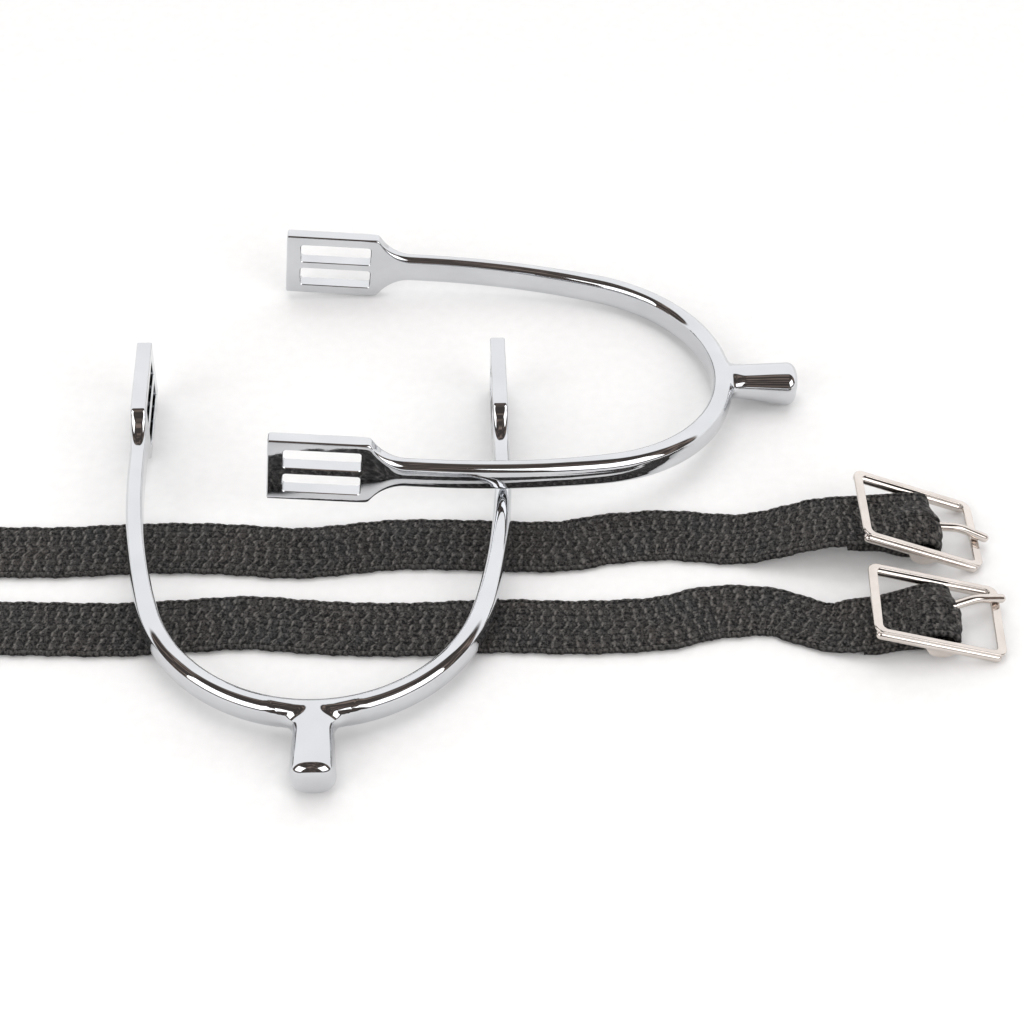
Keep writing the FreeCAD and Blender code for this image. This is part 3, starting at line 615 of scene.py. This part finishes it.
def make_stitching(side, material):
    """Sewing thread: rows along both edges of the fold and one row across its end."""
    buckle = BUCKLES[side]
    line, outward, at = fold_surface(side)
    inset, pitch, length, sink = 2.6, 3.0, 2.1, 0.35
    edge = WEB_WIDTH / 2 - inset
    spots = [(inset + step * pitch, sign * edge, 0) for sign in (-1, 1) for step in range(2)]
    spots += [(inset - 1.1, (step - 1) * pitch, 1) for step in range(3)]
    shells = []
    for start, across, crosswise in spots:
        path = []
        for share in np.linspace(-1, 1, 9):
            u = start + (0 if crosswise else share * length / 2)
            v = across + (share * length / 2 if crosswise else 0)
            place = np.array([np.interp(u, at, line[:, k]) for k in range(3)])
            up = np.array([np.interp(u, at, outward[:, k]) for k in range(3)])
            height = WEB_GROUND + WEB_RELIEF - sink * share ** 4 * 1.6
            aside = buckle["aside"] * smoothstep(-place[0], 1, FOLD_LENGTH - 1)
            path.append(place + up * height + np.array([0, -v - aside, 0]))
        shells.append(tube(path, THREAD_RADIUS, 10, 3))
    points, faces = combined(shells)
    place = turned(*buckle["bar"], buckle["yaw"])
    piece = new_piece(f"strap_{side}_thread", points, faces, place)
    return finish_piece(piece, material, f"{side}_strap", "thread", f"strap_{side}_stitching")


# ---------------------------------------------------------------- buckle
def frame_place(side, local_y=0.0, skew=0.0):
    buckle = BUCKLES[side]
    return (turned(*buckle["bar"], buckle["yaw"], 0.0, buckle["tilt"])
            @ turned(0, local_y, 0, skew))


def flat_ring(outer, inner, low, high, ease):
    """A flat ring between two rounded rectangles of x0, x1, y0, y1 and corner, its edges eased."""
    turns = [math.pi / 6 * step for step in range(4)]
    rim = [(ease * (math.sin(t) - 1), low + ease * (1 - math.cos(t))) for t in turns]
    rim += [(ease * (math.cos(t) - 1), high - ease * (1 - math.sin(t))) for t in turns]

    def loop(box, grow, z):
        x0, x1, y0, y1, corner = box
        return [(x, y, z) for x, y in rounded_rectangle(x0 - grow, x1 + grow, y0 - grow, y1 + grow,
                                                        corner + grow, 10)]

    loops = [loop(outer, grow, z) for grow, z in rim]
    loops += [loop(inner, -grow, z) for grow, z in reversed(rim)]
    count = len(loops[0])
    last = (len(loops) - 1) * count
    faces = grid_faces(len(loops), count, closed=True)
    faces += [(last + j, last + (j + 1) % count, (j + 1) % count, j) for j in range(count)]
    return [p for ring in loops for p in ring], faces


def prism(profile, half_width):
    """A profile in x and z, as wide as it says each side of y = 0."""
    count = len(profile)
    points = [(x, y, z) for y in (-half_width, half_width) for x, z in profile]
    faces = [tuple(range(count)), tuple(reversed(range(count, 2 * count)))]
    faces += [(j, (j + 1) % count, count + (j + 1) % count, count + j) for j in range(count)]
    return points, faces


def shifted(shell, y):
    points, faces = shell
    return [(p[0], p[1] + y, p[2]) for p in points], faces


def make_frame(side, material):
    """Cast frame: a thin flat ring, a rod under each long side, two lugs and the centre bar."""
    x0 = -BAR_OFFSET - FRAME_LENGTH / 2
    x1 = x0 + FRAME_LENGTH
    half = FRAME_WIDTH / 2
    strip_out = half - STRIP_INSET
    strip_in = strip_out - SIDE_STRIP
    outer = (x0, x1, -strip_out, strip_out, FRAME_CORNER)
    inner = (x0 + END_BAR, x1 - END_BAR, -strip_in, strip_in, FRAME_CORNER / 2)
    ring = flat_ring(outer, inner, FRAME_TOP - PLATE_DEPTH, FRAME_TOP, PLATE_EASE)
    rod_y = half - ROD_RADIUS - ROD_INSET
    rod_z = FRAME_TOP - PLATE_DEPTH + ROD_SINK - ROD_RADIUS
    rod_end = ROD_RADIUS + ROD_SHORTER
    lug = [(-3.6, 0.9), (-2.7, -0.1), (-1.8, -0.85), (-0.8, -1.15), (0.8, -1.15), (1.8, -0.85),
           (2.7, -0.1), (3.6, 0.9)]
    bar = [(0, y, 0) for y in np.linspace(-half + BAR_INSET, half - BAR_INSET, 8)]
    shells = [tube(bar, BAR_RADIUS, 32)]
    for sign in (-1, 1):
        ends = [(x, sign * rod_y, rod_z) for x in np.linspace(x0 + rod_end, x1 - rod_end, 12)]
        shells.append(tube(ends, ROD_RADIUS, 32, 8))
        shells.append(shifted(prism(lug, LUG_HALF), sign * (half - LUG_INSET)))
    place = frame_place(side)
    piece = new_piece(f"buckle_{side}_frame_cast", *ring, place)
    rods = new_piece("rods", *combined(shells), place)
    for part in (piece, rods):
        face_outwards(part)
    union = piece.modifiers.new("rods", "BOOLEAN")
    union.operation, union.solver, union.object, union.use_self = "UNION", "EXACT", rods, True
    apply_modifiers(piece)
    clean_mesh(piece)
    bpy.data.objects.remove(rods)
    return finish_piece(piece, material, f"{side}_buckle", "nickel", f"buckle_{side}_frame",
                        sharp=40)


def make_tongue(side, material):
    """Bent wire: an open eye round the centre bar, a shank and a kink over the end bar."""
    end_top = BAR_DROP + 1.0
    kink, tip = (8.6, end_top + 1.95), (15.6, end_top + 1.12)
    path = []
    for degrees in range(-10, -271, -8):
        angle = math.radians(degrees)
        path.append((EYE_RADIUS * math.cos(angle), 0, EYE_RADIUS * math.sin(angle)))
    path.append((0.0, 0, EYE_RADIUS))
    start = np.array((0.4, EYE_RADIUS))
    bend = 1.8
    to_kink = np.array(kink) - start
    to_tip = np.array(tip) - np.array(kink)
    before = np.array(kink) - to_kink / np.linalg.norm(to_kink) * bend
    after = np.array(kink) + to_tip / np.linalg.norm(to_tip) * bend
    shank = [start + (before - start) * t for t in np.linspace(0.15, 1, 8)]
    shank += [(1 - t) ** 2 * before + 2 * t * (1 - t) * np.array(kink) + t * t * after
              for t in np.linspace(0.12, 1, 8)]
    shank += [after + (np.array(tip) - after) * t for t in np.linspace(0.15, 1, 8)]
    path += [(x, 0, z) for x, z in shank]
    points, faces = tube(path, WIRE_RADIUS, 24, 7)
    buckle = BUCKLES[side]
    piece = new_piece(f"buckle_{side}_tongue_wire", points, faces,
                      frame_place(side, buckle["eye_y"], buckle["skew"]))
    face_outwards(piece)
    return finish_piece(piece, material, f"{side}_tongue", "nickel", f"buckle_{side}_tongue")


# ---------------------------------------------------------------- spur
def flank(half_width, heel_radius):
    """Radius of the flank arc, tangent to the arm and the heel, and where it meets the heel."""
    drop = ARM_STRAIGHT_END - HEEL_Y
    radius = (half_width ** 2 + drop ** 2 - heel_radius ** 2) / (2 * (half_width - heel_radius))
    return radius, math.atan2(-drop, radius - half_width)


INNER_FLANK, INNER_JOIN = flank(INNER_HALF, HEEL_RADIUS)
OUTER_HEEL = HEEL_RADIUS + HEEL_THICK
OUTER_FLANK, OUTER_JOIN = flank(INNER_HALF + ARM_THICK, OUTER_HEEL)
HEEL_LENGTH = HEEL_RADIUS * (math.pi / 2 + INNER_JOIN)
FLANK_LENGTH = INNER_FLANK * -INNER_JOIN
HALF_LENGTH = HEEL_LENGTH + FLANK_LENGTH - ARM_STRAIGHT_END


def inner_line(s):
    """Point and outward direction on the inner outline, s from the middle of the heel."""
    if s > HEEL_LENGTH + FLANK_LENGTH:
        y = ARM_STRAIGHT_END + s - HEEL_LENGTH - FLANK_LENGTH
        return np.array((INNER_HALF, y)), np.array((1.0, 0.0))
    if s <= HEEL_LENGTH:
        angle, centre, radius = -math.pi / 2 + s / HEEL_RADIUS, (0, HEEL_Y), HEEL_RADIUS
    else:
        angle = INNER_JOIN + (s - HEEL_LENGTH) / INNER_FLANK
        centre, radius = (INNER_HALF - INNER_FLANK, ARM_STRAIGHT_END), INNER_FLANK
    out = np.array((math.cos(angle), math.sin(angle)))
    return np.array(centre) + radius * out, out


def reach_circle(point, out, centre, radius):
    """Distance from a point inside a circle to the circle."""
    away = point - np.array(centre)
    lead = away @ out
    return -lead + math.sqrt(lead ** 2 - away @ away + radius ** 2)


def thickness(point, out):
    """Distance from the inner outline to the outer one."""
    y = point[1]
    if y >= ARM_STRAIGHT_END:
        share = float(smoothstep(y, SHOULDER_END, PLATE_END))
        return ARM_THICK + (PLATE_THICK - ARM_THICK) * share
    centre = (INNER_HALF + ARM_THICK - OUTER_FLANK, ARM_STRAIGHT_END)
    reach = reach_circle(point, out, centre, OUTER_FLANK)
    if (point + reach * out)[1] < HEEL_Y + OUTER_HEEL * math.sin(OUTER_JOIN):
        reach = reach_circle(point, out, (0, HEEL_Y), OUTER_HEEL)
    return reach


def half_height(y):
    """Half the height of the casting: plate, convex corner, concave shoulder, band."""
    big_z = BAND_HALF + SHOULDER_RADIUS
    both = SHOULDER_RADIUS + SHOULDER_CORNER
    rise = big_z - (PLATE_HALF - SHOULDER_CORNER)
    corner_y = SHOULDER_END + math.sqrt(both ** 2 - rise ** 2)
    join_y = SHOULDER_END + (corner_y - SHOULDER_END) * SHOULDER_RADIUS / both
    if y >= corner_y:
        return PLATE_HALF
    if y >= join_y:
        return PLATE_HALF - SHOULDER_CORNER + math.sqrt(SHOULDER_CORNER ** 2 - (y - corner_y) ** 2)
    if y >= SHOULDER_END:
        return big_z - math.sqrt(SHOULDER_RADIUS ** 2 - (y - SHOULDER_END) ** 2)
    return BAND_HALF


TOP_SHARES = (0, 0.1, 0.4, 0.7, 0.9, 1)
SIDE_SHARES = (0, 0.03, 0.2, 0.4, 0.6, 0.8, 0.97, 1)
OUTER_STEPS, INNER_STEPS = 9, 6
HOLE_SHARE = INNER_STEPS + 1        # the point of the section where the neck's patch starts
HOLE_REACH = 18                     # stations each side of the heel's middle that it takes


def section(thick, half, outer, inner, bulge=SIDE_BULGE):
    """A loop of (distance out from the inner face, height): over the top, down the outer side."""
    def arc(steps, skip_first):
        return [math.pi / 2 * step / steps for step in range(1 if skip_first else 0, steps + 1)]

    upper = [(inner - inner * math.cos(t), half - inner + inner * math.sin(t))
             for t in arc(INNER_STEPS, False)]
    upper += [(inner + (thick - outer - inner) * f, half) for f in TOP_SHARES[1:]]
    upper += [(thick - outer + outer * math.sin(t), half - outer + outer * math.cos(t))
              for t in arc(OUTER_STEPS, True)]
    side = half - outer
    face = [(thick + bulge * (1 - (1 - 2 * f) ** 2), side - 2 * side * f)
            for f in SIDE_SHARES[1:-1]]
    lower = [(a, -z) for a, z in reversed(upper)]
    low = half - inner
    back = [(0.0, -low + 2 * low * f) for f in SIDE_SHARES[1:-1]]
    return upper + face + lower + back


def band_surface(across, around):
    """A point on the heel: distance along its outer side, and over it from its mid-height."""
    flat = BAND_HALF - OUTER_ROUND
    arc = OUTER_ROUND * math.pi / 2
    over = abs(around)
    if over <= flat:
        out, height = HEEL_THICK + SIDE_BULGE * (1 - (over / flat) ** 2), over
    elif over <= flat + arc:
        angle = (over - flat) / OUTER_ROUND
        out = HEEL_THICK - OUTER_ROUND + OUTER_ROUND * math.cos(angle)
        height = flat + OUTER_ROUND * math.sin(angle)
    else:
        out, height = HEEL_THICK - OUTER_ROUND - (over - flat - arc), BAND_HALF
    bearing = -math.pi / 2 + across / OUTER_HEEL
    reach = HEEL_RADIUS + out
    return np.array((reach * math.cos(bearing), HEEL_Y + reach * math.sin(bearing),
                     math.copysign(height, around)))


def spur_stations():
    """Distances along half the spur, close together at the neck, the shoulder and the end."""
    front = HALF_LENGTH
    shoulder_start, shoulder_end = front + SHOULDER_END, front - 21.5
    parts = [np.arange(0, 9.01, 0.5),
             np.linspace(9, shoulder_start, 88)[1:],
             np.linspace(shoulder_start, shoulder_end, 30)[1:],
             np.linspace(shoulder_end, front - 0.25, 14)[1:]]
    return np.concatenate(parts)


def power_oval(turn, wide, high, power):
    """A point on an oval: pointed where the power is above 1, squarish where it is below 1."""
    c, s = math.cos(turn), math.sin(turn)
    return wide * math.copysign(abs(c) ** power, c), high * math.copysign(abs(s) ** power, s)


def neck_spot(turn, y, half):
    x, z = power_oval(turn, *half, NECK_SQUARE)
    return np.array((x, y, z))


def neck_shell(hole):
    """Rings from the hole's rim over the root fillet, along the neck and across its blunt end.

    hole holds (distance along, distance over) on the heel for each point of the rim."""
    rings = []
    turns = [math.atan2(over, across) for across, over in hole]
    feet = [power_oval(turn, NECK_FOOT_WIDE, NECK_FOOT_HIGH, NECK_FOOT_POINT) for turn in turns]
    for share in (0.33, 0.66, 1.0):
        rings.append([band_surface(a + (foot[0] - a) * share, o + (foot[1] - o) * share)
                      for (a, o), foot in zip(hole, feet)])
    start_y = HEEL_INSIDE - HEEL_THICK - NECK_FILLET
    inward = 0.05
    for share in np.arange(1, 13) / 12:
        ring = []
        for turn, foot, root in zip(turns, feet, rings[2]):
            inner = band_surface(foot[0] * (1 - inward), foot[1] * (1 - inward))
            lead = (inner - root) / np.linalg.norm(inner - root)
            end = neck_spot(turn, start_y, NECK_BASE)
            pull = 0.45 * np.linalg.norm(end - root)
            one, two = root + lead * pull, end + np.array((0, pull, 0))
            rest = 1 - share
            ring.append(rest ** 3 * root + 3 * rest ** 2 * share * one
                        + 3 * rest * share ** 2 * two + share ** 3 * end)
        rings.append(ring)
    edge_y = SPUR_END + NECK_EDGE
    base, tip = np.array(NECK_BASE), np.array(NECK_TIP)
    profile = [(start_y + (edge_y - start_y) * t, base + (tip - base) * t)
               for t in (0.06, 0.2, 0.4, 0.6, 0.8, 0.93, 0.985, 1.0)]
    profile += [(edge_y - NECK_EDGE * math.sin(t), tip - NECK_EDGE + NECK_EDGE * math.cos(t))
                for t in (math.pi / 2 * step / 12 for step in range(1, 13))]
    profile += [(SPUR_END, (tip - NECK_EDGE) * f) for f in (0.92, 0.6, 0.25)]
    for y, half in profile:
        rings.append([neck_spot(turn, y, half) for turn in turns])
    return rings


def spur_shell():
    """The whole casting but its slots, as points and faces."""
    half_stations = spur_stations()
    stations = [-s for s in half_stations[:0:-1]] + list(half_stations)
    points = []
    for s in stations:
        spot, out = inner_line(abs(s))
        thick, half = thickness(spot, out), half_height(spot[1])
        plate = float(smoothstep(spot[1], SHOULDER_END, ROUND_END))
        room = min(1.0, (thick - 0.15) / (OUTER_ROUND + INNER_ROUND))
        outer = room * (OUTER_ROUND + (PLATE_OUTER_ROUND - OUTER_ROUND) * plate)
        inner = room * (INNER_ROUND + (PLATE_INNER_ROUND - INNER_ROUND) * plate)
        for a, z in section(thick, half, outer, inner, SIDE_BULGE * (1 - plate)):
            x, y = spot + out * a
            points.append((math.copysign(1, s) * x if s else x, y, z))
    heel_section = section(HEEL_THICK, BAND_HALF, OUTER_ROUND, INNER_ROUND)
    columns = len(heel_section)
    ends = []
    for sign, row in ((-1, 0), (1, len(stations) - 1)):
        loop = points[row * columns:(row + 1) * columns]
        inset = 0.4
        ends.append(len(points))
        for x, y, z in loop:
            a = min(max(abs(x), INNER_HALF + inset), INNER_HALF + PLATE_THICK - inset)
            z = min(max(z, inset - PLATE_HALF), PLATE_HALF - inset)
            points.append((sign * a, 0.0, z))

    upper_count = INNER_STEPS + len(TOP_SHARES) + OUTER_STEPS
    first = HOLE_SHARE
    last = 2 * upper_count + len(SIDE_SHARES) - 3 - HOLE_SHARE
    middle = len(half_stations) - 1
    start_row, end_row = middle - HOLE_REACH, middle + HOLE_REACH
    faces = []
    for k in range(len(stations) - 1):
        for j in range(columns):
            in_hole = start_row <= k < end_row and first <= j < last
            if not in_hole:
                faces.append((k * columns + j, k * columns + (j + 1) % columns,
                              (k + 1) * columns + (j + 1) % columns, (k + 1) * columns + j))
    for start, row in zip(ends, (0, len(stations) - 1)):
        faces += [(row * columns + j, row * columns + (j + 1) % columns,
                   start + (j + 1) % columns, start + j) for j in range(columns)]
        faces.append(tuple(range(start, start + columns)))

    over = [0.0]
    for one, two in zip(heel_section[first:last], heel_section[first + 1:last + 1]):
        over.append(over[-1] + arc_step(one, two))
    over = [over[-1] / 2 - value for value in over]
    rim = [(k, first) for k in range(start_row, end_row)]
    rim += [(end_row, j) for j in range(first, last)]
    rim += [(k, last) for k in range(end_row, start_row, -1)]
    rim += [(start_row, j) for j in range(last, first, -1)]
    hole = [(stations[k] * OUTER_HEEL / HEEL_RADIUS, over[j - first]) for k, j in rim]
    loop = [k * columns + j for k, j in rim]
    for ring in neck_shell(hole):
        start = len(points)
        points += [tuple(p) for p in ring]
        fresh = list(range(start, start + len(loop)))
        faces += [(loop[i], loop[(i + 1) % len(loop)], fresh[(i + 1) % len(loop)], fresh[i])
                  for i in range(len(loop))]
        loop = fresh
    points.append((0.0, SPUR_END, 0.0))
    faces += [(loop[i], loop[(i + 1) % len(loop)], len(points) - 1) for i in range(len(loop))]
    return points, faces


def arc_step(one, two):
    """Distance over the section between two of its points, round the corner where it is."""
    chord = math.dist(one, two)
    if one[0] == two[0] or one[1] == two[1]:
        return chord
    return 2 * OUTER_ROUND * math.asin(min(1.0, chord / (2 * OUTER_ROUND)))


def slot_cutter():
    """Four slot-shaped solids that flare outside the plate, so that their mouths are eased."""
    shells = []
    flare = 0.35
    outside = SLOT_CHAMFER + flare
    steps = [(INNER_HALF - flare, outside), (INNER_HALF + SLOT_CHAMFER, 0.0),
             (INNER_HALF + PLATE_THICK - SLOT_CHAMFER, 0.0),
             (INNER_HALF + PLATE_THICK + flare, outside)]
    for side in (-1, 1):
        for low, high in ((SLOT_LOW, SLOT_HIGH), (-SLOT_HIGH, -SLOT_LOW)):
            points = []
            for x, grow in steps:
                loop = rounded_rectangle(SLOT_BACK - grow, SLOT_FRONT + grow, low - grow,
                                         high + grow, SLOT_CORNER + grow)
                points += [(side * x, y, z) for y, z in loop]
            count = len(points) // len(steps)
            faces = grid_faces(len(steps), count, closed=True)
            faces.append(tuple(range(count)))
            faces.append(tuple(reversed(range(3 * count, 4 * count))))
            shells.append((points, faces))
    return combined(shells)


def make_spur(name, body, material):
    points, faces = spur_shell()
    place = turned(*SPUR_POSES[name])
    spur = new_piece(name + "_casting", points, faces, place)
    face_outwards(spur)
    cutter = new_piece(name + "_cutter", *slot_cutter(), place)
    face_outwards(cutter)
    slots = spur.modifiers.new("slots", "BOOLEAN")
    slots.operation, slots.solver, slots.object = "DIFFERENCE", "EXACT", cutter
    apply_modifiers(spur)
    bpy.data.objects.remove(cutter)
    return finish_piece(spur, material, body, "chrome", name, sharp=32)


# ---------------------------------------------------------------- studio
def make_floor():
    bpy.ops.mesh.primitive_plane_add(size=8)
    floor = bpy.context.object
    floor.name = "floor"
    look = Shader("floor")
    grain = look.noise(look.place(), 400, 3.0)
    tone = look.blend(look.spread(grain, 0.3, 0.7), (0.90, 0.90, 0.90, 1), (0.93, 0.93, 0.93, 1))
    look.set(Base_Color=tone, Roughness=0.9)
    floor.data.materials.append(look.material)


def make_world():
    """Bright surroundings with the dark room that lies in front of the table."""
    world = bpy.data.worlds.new("studio")
    bpy.context.scene.world = world
    world.use_nodes = True
    nodes = Nodes(world.node_tree)
    split = nodes.tree.nodes.new("ShaderNodeSeparateXYZ")
    generated = nodes.tree.nodes.new("ShaderNodeTexCoord").outputs["Generated"]
    nodes.put(split.inputs[0], generated)

    def window(value, low, high):
        """From 0 to 1 between low and high, eased at both ends."""
        node = nodes.tree.nodes.new("ShaderNodeMapRange")
        node.interpolation_type = "SMOOTHSTEP"
        for name, number in (("Value", value), ("From Min", low), ("From Max", high)):
            nodes.put(node.inputs[name], number)
        return node.outputs["Result"]

    lean = nodes.math("MULTIPLY_ADD", split.outputs["Z"], -0.5, split.outputs["Y"])
    dark = nodes.math("MULTIPLY", window(lean, 0.04, -0.05),
                      window(split.outputs["Z"], 0.02, 0.07))
    clutter = nodes.noise(generated, 5.0, 2.0)
    room = nodes.blend(window(clutter, 0.5, 0.72), (0.06, 0.052, 0.048, 1), (0.26, 0.2, 0.17, 1))
    background = nodes.tree.nodes["Background"]
    nodes.put(background.inputs["Color"], nodes.blend(dark, (1.0, 1.0, 1.0, 1), room))
    background.inputs["Strength"].default_value = 1.26


def make_light(name, bearing, height, distance, wide, tall, power):
    """A soft box that faces the object, from a bearing off the front and a height in degrees."""
    light = bpy.data.lights.new(name, "AREA")
    light.shape = "RECTANGLE"
    light.size, light.size_y, light.energy = wide, tall, power
    lamp = bpy.data.objects.new(name, light)
    away, up = math.radians(bearing), math.radians(height)
    place = Vector((math.sin(away) * math.cos(up), -math.cos(away) * math.cos(up), math.sin(up)))
    lamp.location = place * distance
    lamp.rotation_euler = place.to_track_quat("Z", "Y").to_euler()
    bpy.context.scene.collection.objects.link(lamp)
    return lamp


def make_studio():
    make_floor()
    make_world()
    overhead = make_light("overhead", 180, 82, 2.0, 1.6, 1.6, 16)
    overhead.visible_glossy = False
    for name, bearing in (("left_box", -48), ("right_box", 48)):
        make_light(name, bearing, 33, 2.0, 1.6, 1.4, 17)


# ---------------------------------------------------------------- the scene
make_camera()
web_finish = webbing()
thread_finish = thread()
nickel_finish = nickel()
chrome_finish = chrome()

straps = {side: make_webbing(side, web_finish) for side in BUCKLES}
for side, (free, line) in straps.items():
    riders = [make_fold(side, web_finish), make_stitching(side, thread_finish),
              make_frame(side, nickel_finish), make_tongue(side, nickel_finish)]

make_spur("spur_lower", "lower_spur", chrome_finish)
make_spur("spur_upper", "upper_spur", chrome_finish)
make_studio()
bpy.context.scene.view_settings.view_transform = "Standard"
